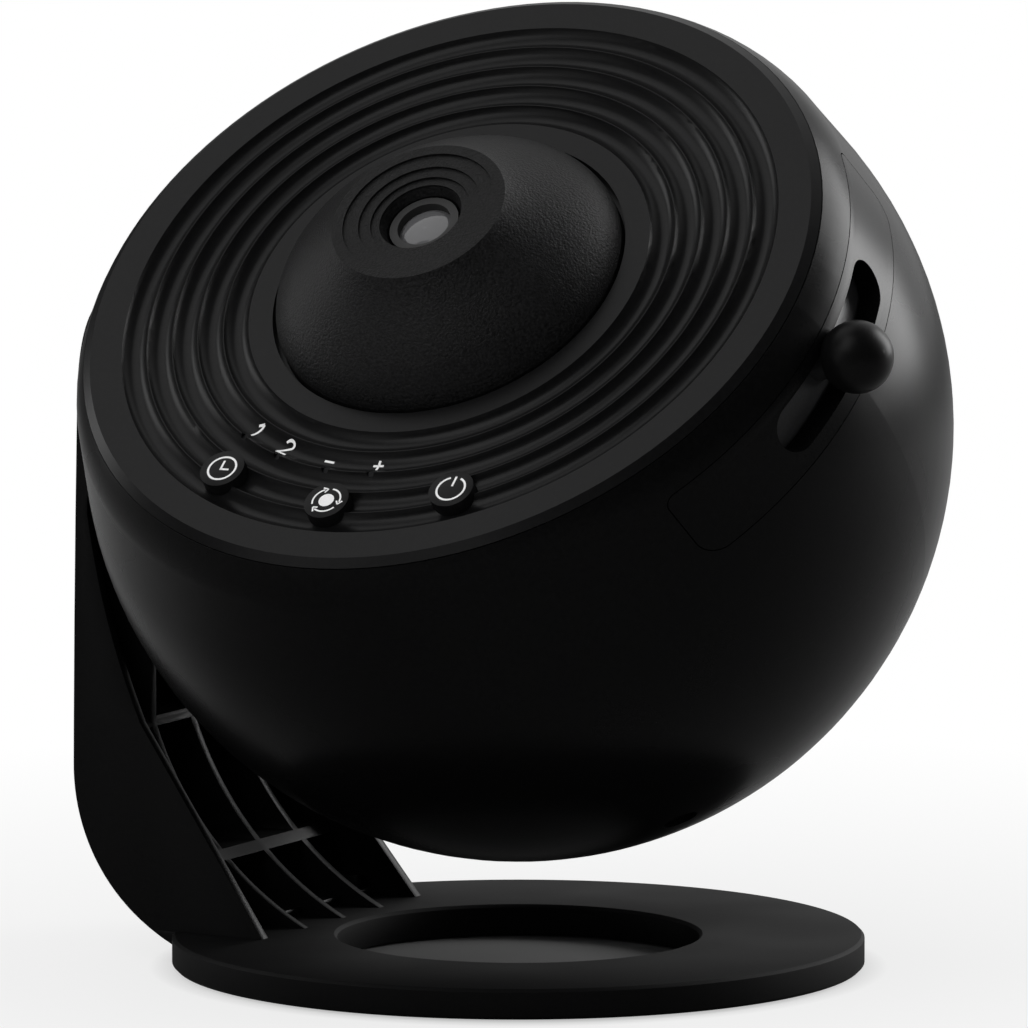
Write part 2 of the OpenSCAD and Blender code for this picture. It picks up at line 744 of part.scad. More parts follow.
module pivot_shaft() color("#9a9ca0") translate([0, 0, pivot_height]) difference() {
    union() {
        bar_x(shaft_r, shaft_end_x, hub_in_x + 1);
        bar_x(shaft_r + 7, hub_in_x, hub_in_x + 2.5);
    }
    bar_x(shaft_screw_r, -big, shaft_end_x + 10);
    for (a = [0, 120, 240]) rotate([a + ball_tilt, 0, 0]) translate([0, 0, 12]) bar_x(screw_r, -big, 0);
}

module hub_screws() color("#b8babd") translate([0, 0, pivot_height])
    for (a = [0, 120, 240]) rotate([a + ball_tilt, 0, 0]) translate([0, 0, 12]) {
        bar_x(screw_r, hub_x + 1, hub_in_x + 2.5);
        bar_x(screw_r + 1.3, hub_in_x + 2.5, hub_in_x + 4.3);
    }

module shaft_washer() color("#a9abae") translate([0, 0, pivot_height]) difference() {
    bar_x(bush_r + bush_t + 0.3, shaft_end_x - shaft_washer_t, shaft_end_x);
    bar_x(shaft_screw_r, -big, 0);
}

module shaft_screw() color("#b8babd") translate([0, 0, pivot_height]) {
    bar_x(shaft_screw_r, shaft_end_x - shaft_washer_t, shaft_end_x + 10);
    bar_x(shaft_head_r, shaft_end_x - shaft_washer_t - shaft_head_h, shaft_end_x - shaft_washer_t);
}

module power_inlet() color("#0c0c0c") in_ball() at_inlet() {
    difference() {
        translate([0, 0, inner_r - 9]) cylinder(r = inlet_r, h = 10);
        translate([0, 0, inner_r - 7]) cylinder(r = inlet_r - 1.2, h = 10);
    }
    translate([0, 0, inner_r - 7]) cylinder(r = 0.9, h = 7);
    difference() {
        translate([0, 0, inner_r - 4.4]) cylinder(r = inlet_r + 2.6, h = 2);
        translate([0, 0, inner_r - 5]) cylinder(r = inlet_r, h = 10);
    }
}

// ---------------------------------------------------------------- inside the ball

module main_board() color("#1f5a34") in_ball() {
    difference() {
        translate([-board_x, -board_y, main_board_z]) cube([2 * board_x, 2 * board_y, main_board_t]);
        at_board_bosses() cylinder(r = screw_r, h = big);
    }
    translate([-10, -12, main_board_z + main_board_t]) cube([12, 12, 1.6]);
    translate([12, 6, main_board_z + main_board_t]) cylinder(r = 4, h = 8);
    translate([-20, 4, main_board_z + main_board_t]) cube([8, 10, 5]);
}

module main_board_screws() color("#b8babd") in_ball() at_board_bosses() {
    translate([0, 0, 10 - board_screw_l]) cylinder(r = screw_r, h = board_screw_l + main_board_t);
    translate([0, 0, 10 + main_board_t]) cylinder(r = screw_r + 1.2, h = 1.6);
}

// Flat frame that carries the optics under the face panel
module optics_frame() color("#2b2b2d") in_ball() difference() {
    union() {
        cylinder(r = frame_r, h = frame_t, $fn = smooth);
        for (a = frame_post_angles) rotate(a) {
            translate([frame_r - 10, -6, 0]) cube([post_ring_r - frame_r + 10, 12, frame_t]);
            translate([post_ring_r, 0, 0]) cylinder(r = 6, h = frame_t);
        }
    }
    translate([0, 0, -1]) cylinder(r = holder_r + fit, h = 10);
    for (a = frame_post_angles) rotate(a) translate([post_ring_r, 0, -1]) cylinder(r = screw_r, h = 10);
    for (a = leg_angles) rotate(a) translate([leg_ring_r, 0, -1]) cylinder(r = screw_r, h = 10);
    for (a = sink_angles) rotate(a) translate([sink_screw_ring_r, 0, -1]) cylinder(r = screw_r, h = 3);
    at_motor() {
        translate([0, 0, -1]) cylinder(r = motor_shaft_r + 1.4, h = 10);
        at_motor_screws() {
            translate([0, 0, -1]) cylinder(r = motor_screw_r, h = 10);
            translate([0, 0, frame_t - motor_head_h]) cylinder(r = motor_head_r, h = 10);
        }
    }
}

module frame_screws() color("#b8babd") in_ball()
    for (a = frame_post_angles) rotate(a) translate([post_ring_r, 0, 0])
        screw(screw_r, frame_t + 10, screw_r + 1.3, 1.8);

module heat_sink() color("#b4b6b8") in_ball() difference() {
    fins = 7;
    fin_t = 1.4;
    fin_r = sink_screw_ring_r - 4.8;
    union() {
        translate([0, 0, sink_z]) cylinder(r = sink_r, h = sink_t);
        for (a = sink_angles) rotate(a) translate([sink_screw_ring_r, 0, sink_z + sink_t - sink])
            cylinder(r = screw_r + 1.7, h = -holder_flange_t - sink_z - sink_t + sink);
        intersection() {
            translate([0, 0, sink_z - fin_h]) cylinder(r = fin_r, h = fin_h + sink);
            for (i = [0 : fins - 1]) translate([-big / 2, (i - (fins - 1) / 2) * 4.4 - fin_t / 2, sink_z - fin_h])
                cube([big, fin_t, fin_h + sink]);
        }
    }
    for (a = sink_angles) rotate(a) translate([sink_screw_ring_r, 0, -big]) cylinder(r = screw_r, h = big);
}

module sink_screws() color("#b8babd") in_ball()
    for (a = sink_angles) rotate(a) translate([sink_screw_ring_r, 0, sink_z])
        screw(screw_r, 2 - sink_z, screw_r + 1.3, 1.8);

module lamp_board() color("#f0efe9") in_ball()
    translate([0, 0, sink_z + sink_t]) cylinder(r = sink_r - 12, h = lamp_board_t);

module lamp_emitter() color("#f3d84a") in_ball() translate([0, 0, sink_z + sink_t + lamp_board_t]) {
    translate([-2.5, -2.5, 0]) cube([5, 5, 0.8]);
    intersection() {
        translate([0, 0, 0.8]) sphere(r = 2);
        translate([0, 0, 0.8]) cylinder(r = 3, h = 3);
    }
}

module condenser_holder() color("#2b2b2d") in_ball() difference() {
    union() {
        ring(holder_r, condenser_r + fit, -holder_flange_t, holder_top);
        ring(sink_r, condenser_r - 1.5, -holder_flange_t, 0);
    }
    for (a = sink_angles) rotate(a) translate([sink_screw_ring_r, 0, -big]) cylinder(r = screw_r, h = 2 * big);
    translate([0, 0, -holder_flange_t + 1.5]) cylinder(r = condenser_r + fit, h = big);
}

// A lens with a flat or rounded front and back, on a straight edge
module lens(r, edge, front, back = 0) {
    cylinder(r = r, h = edge);
    translate([0, 0, edge]) lens_cap(r, front);
    if (back > 0) mirror([0, 0, 1]) lens_cap(r, back);
}
module lens_cap(r, h) {
    cap_sphere_r = (r * r + h * h) / (2 * h);
    intersection() {
        translate([0, 0, h - cap_sphere_r]) sphere(r = cap_sphere_r, $fn = smooth);
        cylinder(r = r, h = h + 1);
    }
}

module condenser_lens() color("#dfe9ee") in_ball()
    translate([0, 0, -holder_flange_t + 1.5]) lens(condenser_r, 2.2, 3.6);

module lens_housing() color("#2b2b2d") in_ball() difference() {
    union() {
        ring(housing_r, barrel_r + fit, housing_z, housing_top);
        ring(housing_r + 2.4, housing_r - 1, housing_z, focus_z - 0.3);
        ring(leg_ring_r + 4, housing_r - 1, housing_z, housing_z + 3);
        for (a = leg_angles) rotate(a) translate([leg_ring_r, 0, frame_t]) cylinder(r = 3, h = housing_z - frame_t + 1);
    }
    for (a = leg_angles) rotate(a) translate([leg_ring_r, 0, 0]) cylinder(r = screw_r, h = housing_z);
    // slot in which the cam pin slides
    hull_h = 2 * (lens_travel + cam_pin_r + 0.4);
    rotate(90) translate([barrel_r - 1, -cam_pin_r - fit, cam_z - hull_h / 2]) cube([housing_wall + 3, 2 * (cam_pin_r + fit), hull_h]);
}

module housing_screws() color("#b8babd") in_ball()
    for (a = leg_angles) rotate(a) translate([leg_ring_r, 0, 0]) screw(screw_r, housing_z, screw_r + 1.3, 1.8);

module focus_clip() color("#a9abae") in_ball() ring(housing_r + 2.2, housing_r + fit, focus_top + 0.3, focus_top + 1.3);

module drive_motor() color("#a9abae") in_ball() at_motor() difference() {
    translate([0, 0, -motor_h]) cylinder(r = motor_r, h = motor_h);
    translate([0, 0, -motor_h + 4]) cylinder(r = motor_shaft_r + fit, h = motor_h);
    at_motor_screws() translate([0, 0, -4]) cylinder(r = motor_screw_r, h = 5);
}

module motor_screws() color("#b8babd") in_ball() at_motor() at_motor_screws() {
    translate([0, 0, -4]) cylinder(r = motor_screw_r, h = 4 + frame_t - motor_head_h);
    translate([0, 0, frame_t - motor_head_h]) cylinder(r = motor_head_r, h = motor_head_h);
}

module button_board() color("#1f5a34") in_ball() {
    difference() {
        intersection() {
            ring(board_post_r + 3, 45.5, board_top - board_t, board_top, smooth);
            wedge(-91, 44);
        }
        for (a = board_post_angles) rotate(a) translate([board_post_r, 0, 0]) cylinder(r = 1, h = big);
    }
    for (a = button_angles) rotate(a) translate([button_ring_r, 0, board_top - sink]) cylinder(r = 1.7, h = switch_h + sink);
    for (a = lamp_angles) rotate(a) translate([lamp_ring_r, 0, board_top - sink]) cylinder(r = 0.8, h = 0.6 + sink);
}

module button_board_screws() color("#b8babd") in_ball()
    for (a = board_post_angles) rotate(a) translate([board_post_r, 0, board_top - board_t]) screw(1, board_t + 4, 1.9, 1.2);

module button_domes() color("#e8e6e0") in_ball()
    for (a = button_angles) rotate(a) translate([button_ring_r, 0, 0])
        ring(3.4, 2.2, board_top, flange_z - flange_h - button_travel - button_play);

module indicator_guides() color("#e9eef2") in_ball()
    for (a = lamp_angles) rotate(a) translate([lamp_ring_r, 0, board_top + 0.6])
        cylinder(r = lamp_r, h = face_z - 0.7 - board_top - 0.6);

// ---------------------------------------------------------------- moving pieces of the ball

// Outline of the hood at a share t of the way from its foot to its top
function hood_point(t, b = [[hood_r, 0], [hood_r - 1.3, 0.43 * hood_h], [hood_top_r + 6.2, 0.65 * hood_h], [hood_top_r, hood_h]]) =
    pow(1 - t, 3) * b[0] + 3 * t * pow(1 - t, 2) * b[1] + 3 * t * t * (1 - t) * b[2] + pow(t, 3) * b[3];

module lens_hood() color("#141415") in_ball() difference() {
    steps = 24;
    ceiling = hood_top - 5.2;
    outer = [for (i = [0 : steps]) hood_point(i / steps)];
    inner = [for (p = outer) if (p.y < ceiling - face_z - 0.3) [p.x - hood_wall - 0.4, p.y + face_z]];
    last = inner[len(inner) - 1];
    rotate_extrude($fn = smooth) difference() {
        polygon(concat(
            [[port_r, face_z], [port_r, collar_z + 0.2], [hood_r, collar_z + 0.2]],
            [for (p = outer) [p.x, p.y + face_z]],
            [[port_steps[0], hood_top], [port_steps[0], hood_top - terrace],
             [port_steps[1], hood_top - terrace], [port_steps[1], hood_top - 2 * terrace],
             [port_steps[2], hood_top - 2 * terrace], [port_steps[2], hood_top - 3 * terrace],
             [port_steps[3], hood_top - 3 * terrace], [port_steps[3], hood_top - 3.8 * terrace],
             [port_r, hood_top - 3.4]]));
        // hollow under the top, round the throat of the port
        polygon(concat([[port_r + 2, collar_z - 1], [hood_r - hood_wall, collar_z - 1], [hood_r - hood_wall, face_z]],
            inner, [[last.x - 1, ceiling], [port_r + 2, ceiling]]));
        translate([0, 0]) square([port_r + 3, ceiling - 4]);
    }
}

module button_body() {
    translate([0, 0, flange_z - 1]) cylinder(r = button_r, h = button_top - flange_z + 1);
    translate([0, 0, flange_z - flange_h]) cylinder(r = button_r + 1, h = flange_h);
    translate([0, 0, flange_z - flange_h - stem_h]) cylinder(r = 1.4, h = stem_h + 0.5);
}
module timer_button() color("#1b1b1c") in_ball() rotate(timer_a) translate([button_ring_r, 0, 0]) button_body();
module rotate_button() color("#1b1b1c") in_ball() rotate(rotate_a) translate([button_ring_r, 0, 0]) button_body();
module power_button() color("#1b1b1c") in_ball() rotate(power_a) translate([button_ring_r, 0, 0]) button_body();

// The stem leans from the middle of the ball towards the face
module at_stem() rotate(stem_a) rotate([0, 90 - stem_lean, 0]) children();

module focus_ring() color("#1d1d1f") in_ball() difference() {
    union() {
        ring(housing_r + fit + focus_wall, housing_r + fit, focus_z, focus_top);
        rotate(stem_a) intersection() {
            translate([housing_r + 2, -web_w / 2, web_z]) cube([big, web_w, web_t]);
            sphere(r = shield_r - shield_t + sink, $fn = smooth);
        }
        // shield that closes the slot from inside
        intersection() {
            ball_layer(shield_r, shield_r - shield_t);
            ring(ball_r, 1, web_z - 1, shield_top, smooth);
            wedge(stem_a, shield_a);
        }
        at_stem() translate([0, 0, shield_r - shield_t / 2]) cylinder(r = stem_r, h = knob_reach - shield_r + shield_t / 2);
    }
    // inside channel of the cam
    ring(housing_r + 2.6, housing_r - 2, cam_z - lens_travel - cam_pin_r - 0.4, cam_z + lens_travel + cam_pin_r + 0.4);
}

module focus_knob() color("#121213") in_ball() difference() {
    at_stem() difference() {
        translate([0, 0, knob_reach]) sphere(r = knob_r);
        cylinder(r = stem_r + fit, h = knob_reach);
    }
    ball_form(knob_gap);
}

module lens_barrel() color("#1d1d1f") in_ball() difference() {
    union() {
        ring(barrel_r, barrel_r - barrel_wall, barrel_z, barrel_step_z);
        ring(barrel_r, nose_r - 2, barrel_step_z - 1.5, barrel_step_z + 1.5);
        ring(nose_r, front_lens_r - 0.7, barrel_step_z, nose_top);
    }
    translate([0, 0, front_lens_z]) cylinder(r = front_lens_r, h = 10);
    rotate(90) translate([0, 0, cam_z]) bar_x(cam_pin_r, barrel_r - 2, big);
}

module cam_pin() color("#b8babd") in_ball() rotate(90) translate([0, 0, cam_z])
    bar_x(cam_pin_r, barrel_r - barrel_wall, housing_r + 2.2);

module front_lens() color("#dfe9ee") in_ball() translate([0, 0, front_lens_z]) {
    cylinder(r = front_lens_r, h = front_lens_edge);
    translate([0, 0, front_lens_edge]) {
        cylinder(r1 = front_lens_r, r2 = front_lens_r - front_bevel_w, h = front_bevel_h);
        translate([0, 0, front_bevel_h]) lens_cap(front_lens_r - front_bevel_w, 0.5);
    }
}

module front_retainer() color("#1d1d1f") in_ball() ring(front_lens_r, front_lens_r - retainer_w,
    front_lens_z + front_lens_edge + front_bevel_h * retainer_w / front_bevel_w + 0.05, nose_top);

module rear_lens() color("#dfe9ee") in_ball()
    translate([0, 0, barrel_z + 3.6]) lens(barrel_r - barrel_wall - fit, 1.6, 3, 2);

module rear_retainer() color("#1d1d1f") in_ball()
    ring(barrel_r - barrel_wall, barrel_r - barrel_wall - 1.3, barrel_z, barrel_z + 3.6 - 0.35);

// A spur gear with straight-sided teeth, the first tooth or gap along X
module gear(teeth, h, bore, gap_first = false) {
    pitch_r = tooth_m * teeth / 2;
    tip_r = pitch_r + 0.85 * tooth_m;
    root_r = pitch_r - 1.2 * tooth_m;
    half = PI * tooth_m / 4 - 0.16;
    slope = tan(20);
    linear_extrude(h) difference() {
        union() {
            circle(r = root_r);
            for (i = [0 : teeth - 1]) rotate((i + (gap_first ? 0.5 : 0)) * 360 / teeth) polygon([
                [root_r - 0.3, -half - 1.2 * tooth_m * slope], [tip_r, -half + 0.85 * tooth_m * slope],
                [tip_r, half - 0.85 * tooth_m * slope], [root_r - 0.3, half + 1.2 * tooth_m * slope]]);
        }
        circle(r = bore);
    }
}

module disc_carrier() color("#e8e6e0") in_ball() {
    translate([0, 0, carrier_z]) rotate(motor_a) gear(carrier_teeth, carrier_h, holder_r + fit);
    ring(film_r + 2, film_r + 0.1, carrier_z + carrier_h - sink, carrier_z + carrier_h + film_t + clip_t);
}

module film_disc() color("#202a52") in_ball()
    translate([0, 0, carrier_z + carrier_h]) cylinder(r = film_r, h = film_t);

module disc_clip() color("#e8e6e0") in_ball()
    ring(film_r + 0.1, film_r - 2, carrier_z + carrier_h + film_t, carrier_z + carrier_h + film_t + clip_t);

module motor_pinion() color("#e8e6e0") in_ball() at_motor() translate([0, 0, carrier_z])
    gear(pinion_teeth, carrier_h, motor_shaft_r, true);

module motor_shaft() color("#b8babd") in_ball() at_motor()
    translate([0, 0, -motor_h + 5]) cylinder(r = motor_shaft_r, h = motor_h - 5 + carrier_z + carrier_h + 1);

base_ring();
base_weight();
base_cover();
base_screws();
foot_pads();
stand_arm();
arm_screws();
pivot_bush();
friction_washer();
pivot_cap();
ball_shell();
face_panel();
panel_screws();
side_cover();
rear_cover();
rear_cover_screws();
pivot_shaft();
hub_screws();
shaft_washer();
shaft_screw();
power_inlet();
main_board();
main_board_screws();
optics_frame();
frame_screws();
heat_sink();
sink_screws();
lamp_board();
lamp_emitter();
condenser_holder();
condenser_lens();
lens_housing();
housing_screws();
focus_clip();
drive_motor();
motor_screws();
button_board();
button_board_screws();
button_domes();
indicator_guides();
lens_hood();
timer_button();
rotate_button();
power_button();
focus_ring();
focus_knob();
lens_barrel();
cam_pin();
front_lens();
front_retainer();
rear_lens();
rear_retainer();
disc_carrier();
film_disc();
disc_clip();
motor_pinion();
motor_shaft();
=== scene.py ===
"""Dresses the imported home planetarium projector: finishes for its solids, printed symbols and studio."""
import json
import math

import bmesh
import bpy
from mathutils import Matrix, Vector


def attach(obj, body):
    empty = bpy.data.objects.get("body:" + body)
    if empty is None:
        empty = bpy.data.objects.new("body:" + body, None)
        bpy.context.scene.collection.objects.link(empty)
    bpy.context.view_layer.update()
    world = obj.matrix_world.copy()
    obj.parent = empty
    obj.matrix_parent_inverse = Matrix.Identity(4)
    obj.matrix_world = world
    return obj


bl_info = {
    "name": "Planetarium Projector Dresser",
    "version": (1, 0, 0),
    "blender": (4, 5, 0),
    "location": "View3D > Sidebar > Projector",
    "description": "Gives the projector's parts their finishes, symbols and studio",
    "category": "Object",
}

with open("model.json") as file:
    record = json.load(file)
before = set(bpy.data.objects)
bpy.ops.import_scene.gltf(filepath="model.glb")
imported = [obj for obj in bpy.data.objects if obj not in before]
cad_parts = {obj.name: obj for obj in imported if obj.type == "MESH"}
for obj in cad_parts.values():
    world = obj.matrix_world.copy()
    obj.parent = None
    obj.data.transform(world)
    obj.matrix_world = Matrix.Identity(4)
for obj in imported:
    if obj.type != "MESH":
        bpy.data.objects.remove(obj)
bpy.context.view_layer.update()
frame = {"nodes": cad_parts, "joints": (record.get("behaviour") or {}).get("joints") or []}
JOINTS = {joint["name"]: joint for joint in frame["joints"]}
PIVOT = Vector(JOINTS["ball_tilt"]["pos_m"])
FACE_AXIS = Vector(JOINTS["hood_pull"]["axis"])
TILT = math.atan2(-FACE_AXIS.y, FACE_AXIS.z)
BALL = Matrix.Translation(PIVOT) @ Matrix.Rotation(TILT, 4, "X")
TO_BALL = BALL.inverted()


def in_ball(node):
    """The points of a CAD node in the ball's own axes, where Z is the axis of the face."""
    return [TO_BALL @ v.co for v in frame["nodes"][node].data.vertices]


def middle_of(node):
    """Centre of a CAD node's box in the ball's own axes, with Z at its top."""
    points = in_ball(node)
    low = [min(p[i] for p in points) for i in range(3)]
    high = [max(p[i] for p in points) for i in range(3)]
    return Vector(((low[0] + high[0]) / 2, (low[1] + high[1]) / 2, high[2]))


FACE_Z = max(p.z for p in in_ball("face_panel"))
BUTTONS = {name: middle_of(name + "_button") for name in ("timer", "rotate", "power")}


# ---------------------------------------------------------------- settings

class ProjectorFinish(bpy.types.PropertyGroup):
    """Colours and surface of the mouldings."""

    stand_colour: bpy.props.FloatVectorProperty(
        name="Stand colour", description="Colour of the stand's plastic", subtype="COLOR",
        size=3, min=0, max=1, default=(0.0030, 0.0030, 0.0031))
    ball_colour: bpy.props.FloatVectorProperty(
        name="Ball colour", description="Colour of the ball's plastic", subtype="COLOR",
        size=3, min=0, max=1, default=(0.0026, 0.0026, 0.0027))
    face_colour: bpy.props.FloatVectorProperty(
        name="Face colour", description="Colour of the grooved face", subtype="COLOR",
        size=3, min=0, max=1, default=(0.0038, 0.0038, 0.0040))
    hood_colour: bpy.props.FloatVectorProperty(
        name="Hood colour", description="Colour of the lens hood", subtype="COLOR",
        size=3, min=0, max=1, default=(0.0058, 0.0058, 0.0060))
    ink_colour: bpy.props.FloatVectorProperty(
        name="Ink colour", description="Colour of the printed symbols", subtype="COLOR",
        size=3, min=0, max=1, default=(0.80, 0.80, 0.80))
    roughness: bpy.props.FloatProperty(
        name="Roughness", description="Roughness of the moulded plastic", min=0, max=1, default=0.28)
    gloss: bpy.props.FloatProperty(
        name="Gloss", description="Strength of the plastic's reflections, 0.5 for bare plastic",
        min=0, max=1, default=0.055)
    grain: bpy.props.FloatProperty(
        name="Grain", description="Size of the moulded grain", subtype="DISTANCE", unit="LENGTH",
        min=0.0001, max=0.005, default=0.0006)


class ProjectorMarks(bpy.types.PropertyGroup):
    """Sizes of the printed symbols."""

    symbol_radius: bpy.props.FloatProperty(
        name="Symbol radius", description="Outer radius of a button's symbol", subtype="DISTANCE",
        unit="LENGTH", min=0.001, max=0.004, default=0.0030)
    stroke: bpy.props.FloatProperty(
        name="Stroke", description="Width of the printed lines", subtype="DISTANCE", unit="LENGTH",
        min=0.0001, max=0.001, default=0.00042)
    label_height: bpy.props.FloatProperty(
        name="Label height", description="Height of the marks beside the indicators",
        subtype="DISTANCE", unit="LENGTH", min=0.002, max=0.006, default=0.0032)
    label_radius: bpy.props.FloatProperty(
        name="Label radius", description="Distance of those marks from the face's middle",
        subtype="DISTANCE", unit="LENGTH", min=0.04, max=0.05, default=0.0471)


class ProjectorStudio(bpy.types.PropertyGroup):
    """Camera and lamps."""

    azimuth: bpy.props.FloatProperty(
        name="Azimuth", description="Camera's turn round the projector", subtype="ANGLE",
        default=math.radians(29.2))
    elevation: bpy.props.FloatProperty(
        name="Elevation", description="Camera's height above the horizon", subtype="ANGLE",
        default=math.radians(7.338))
    distance: bpy.props.FloatProperty(
        name="Distance", description="Camera's distance from the ball", subtype="DISTANCE",
        unit="LENGTH", default=3.0)
    backdrop: bpy.props.FloatProperty(
        name="Backdrop", description="Brightness of the white background", min=0, max=1, default=1.0)
    fill: bpy.props.FloatProperty(
        name="Fill", description="Brightness of the soft light from all round", min=0, max=1, default=0.45)
    room: bpy.props.FloatProperty(
        name="Room", description="Brightness of the dark room in front, in reflections",
        min=0, max=1, default=0.05)


# ---------------------------------------------------------------- materials

def new_material(name):
    """An empty material, and its node tree with shader and output joined."""
    material = bpy.data.materials.new(name)
    material.use_nodes = True
    tree = material.node_tree
    tree.nodes.clear()
    output = tree.nodes.new("ShaderNodeOutputMaterial")
    shader = tree.nodes.new("ShaderNodeBsdfPrincipled")
    tree.links.new(shader.outputs["BSDF"], output.inputs["Surface"])
    return material, tree, shader


def noise_node(tree, scale, detail=4.0, roughness=0.6):
    """Noise in object space, with scale in features per metre."""
    place = tree.nodes.new("ShaderNodeTexCoord")
    noise = tree.nodes.new("ShaderNodeTexNoise")
    noise.inputs["Scale"].default_value = scale
    noise.inputs["Detail"].default_value = detail
    noise.inputs["Roughness"].default_value = roughness
    tree.links.new(place.outputs["Object"], noise.inputs["Vector"])
    return noise


def number_ramp(tree, source, low, high, start=0.3, stop=0.7):
    """Maps a grey value between start and stop to the range between two numbers."""
    node = tree.nodes.new("ShaderNodeMapRange")
    node.inputs["From Min"].default_value = start
    node.inputs["From Max"].default_value = stop
    node.inputs["To Min"].default_value = low
    node.inputs["To Max"].default_value = high
    tree.links.new(source, node.inputs["Value"])
    return node.outputs["Result"]


def colour_ramp(tree, source, low, high, start=0.3, stop=0.7):
    """Maps a grey value between start and stop to the range between two colours."""
    node = tree.nodes.new("ShaderNodeValToRGB")
    for element, position, colour in zip(node.color_ramp.elements, (start, stop), (low, high)):
        element.position = position
        element.color = (*colour, 1)
    tree.links.new(source, node.inputs["Fac"])
    return node.outputs["Color"]


def moulded(name, colour, roughness, grain, depth, uneven=0.06, specular=0.5, speckle=0.25):
    """Moulded plastic: a fine spark-eroded grain, slow changes of gloss and a faint speckle of colour."""
    material, tree, shader = new_material(name)
    fine = noise_node(tree, 1 / grain, detail=3.0)
    slow = noise_node(tree, 22.0, detail=2.0)
    dark = tuple(c * (1 - speckle) for c in colour)
    light = tuple(c * (1 + speckle) for c in colour)
    tree.links.new(colour_ramp(tree, fine.outputs["Fac"], dark, light), shader.inputs["Base Color"])
    gloss = number_ramp(tree, slow.outputs["Fac"], roughness - uneven, roughness + uneven)
    tree.links.new(gloss, shader.inputs["Roughness"])
    shader.inputs["Specular IOR Level"].default_value = specular
    bump = tree.nodes.new("ShaderNodeBump")
    bump.inputs["Strength"].default_value = 1.0
    bump.inputs["Distance"].default_value = depth
    tree.links.new(fine.outputs["Fac"], bump.inputs["Height"])
    tree.links.new(bump.outputs["Normal"], shader.inputs["Normal"])
    return material


def metal(name, colour, roughness, scale=(900.0, 900.0, 60.0), uneven=0.06):
    """Turned or plated metal with a fine brushed grain; scale is in features per metre along each axis."""
    material, tree, shader = new_material(name)
    place = tree.nodes.new("ShaderNodeTexCoord")
    stretch = tree.nodes.new("ShaderNodeMapping")
    stretch.inputs["Scale"].default_value = scale
    noise = tree.nodes.new("ShaderNodeTexNoise")
    noise.inputs["Scale"].default_value = 1.0
    noise.inputs["Detail"].default_value = 3.0
    tree.links.new(place.outputs["Object"], stretch.inputs["Vector"])
    tree.links.new(stretch.outputs["Vector"], noise.inputs["Vector"])
    dark = tuple(c * 0.85 for c in colour)
    tree.links.new(colour_ramp(tree, noise.outputs["Fac"], dark, colour), shader.inputs["Base Color"])
    gloss = number_ramp(tree, noise.outputs["Fac"], roughness - uneven, roughness + uneven)
    tree.links.new(gloss, shader.inputs["Roughness"])
    shader.inputs["Metallic"].default_value = 1.0
    return material


def clear_glass(name, tint, clear=1.0):
    """Coated lens glass, with a slight cleaning haze in its gloss; what isn't clear is milky."""
    material, tree, shader = new_material(name)
    haze = noise_node(tree, 260.0, detail=2.0)
    tree.links.new(number_ramp(tree, haze.outputs["Fac"], 0.02, 0.07), shader.inputs["Roughness"])
    shader.inputs["Base Color"].default_value = (*tint, 1)
    shader.inputs["Transmission Weight"].default_value = clear
    shader.inputs["IOR"].default_value = 1.49
    return material


# ---------------------------------------------------------------- mesh helpers

def finish_node(name, material, sharp=32.0, bevel=0.0):
    """Gives a CAD node its material, smooth shading up to a sharp angle, and a small rounded edge."""
    node = frame["nodes"][name]
    node.data.materials.clear()
    node.data.materials.append(material)
    for face in node.data.polygons:
        face.use_smooth = True
    node.data.set_sharp_from_angle(angle=math.radians(sharp))
    if bevel > 0:
        weld = node.modifiers.new("Weld", "WELD")
        weld.merge_threshold = 0.000002
        edge = node.modifiers.new("Edge", "BEVEL")
        edge.width = bevel
        edge.segments = 2
        edge.limit_method = "ANGLE"
        edge.angle_limit = math.radians(40)
        edge.use_clamp_overlap = True
    return node


def add_piece(name, mesh_maker, material, body, place=BALL, smooth=True):
    """Makes an object from a bmesh, puts it in place, paints it and lets it ride on a body."""
    mesh = bpy.data.meshes.new(name)
    mesh_maker.to_mesh(mesh)
    mesh_maker.free()
    for face in mesh.polygons:
        face.use_smooth = smooth
    piece = bpy.data.objects.new(name, mesh)
    bpy.context.scene.collection.objects.link(piece)
    piece.matrix_world = place
    mesh.materials.append(material)
    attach(piece, body)
    return piece


def ribbon(made, points, width, thickness, height_at, closed=False):
    """A printed line: a thin raised band along points, on the surface whose height is height_at(x, y)."""
    count = len(points)
    rows = []
    for i, point in enumerate(points):
        before = points[(i - 1) % count] if closed or i > 0 else point
        after = points[(i + 1) % count] if closed or i < count - 1 else point
        along = (after - before).normalized()
        side = Vector((-along.y, along.x)) * width / 2
        row = []
        for corner in (point - side, point + side):
            base = height_at(corner.x, corner.y)
            row.append(made.verts.new((corner.x, corner.y, base - thickness)))
            row.append(made.verts.new((corner.x, corner.y, base + thickness)))
        rows.append(row)
    for i in range(count if closed else count - 1):
        a, b = rows[i], rows[(i + 1) % count]
        for p, q in ((0, 1), (1, 3), (3, 2), (2, 0)):
            made.faces.new((a[p], b[p], b[q], a[q]))
    if not closed:
        for row in (rows[0], rows[-1]):
            made.faces.new((row[0], row[1], row[3], row[2]))
    bmesh.ops.recalc_face_normals(made, faces=made.faces)


def arc_points(centre, radius, start, stop, steps):
    """Points on an arc, in degrees counted from local +X."""
    return [centre + radius * Vector((math.cos(math.radians(a)), math.sin(math.radians(a))))
            for a in (start + (stop - start) * i / steps for i in range(steps + 1))]


def line_points(start, stop, steps=6):
    """Points on a straight line."""
    return [start.lerp(stop, i / steps) for i in range(steps + 1)]


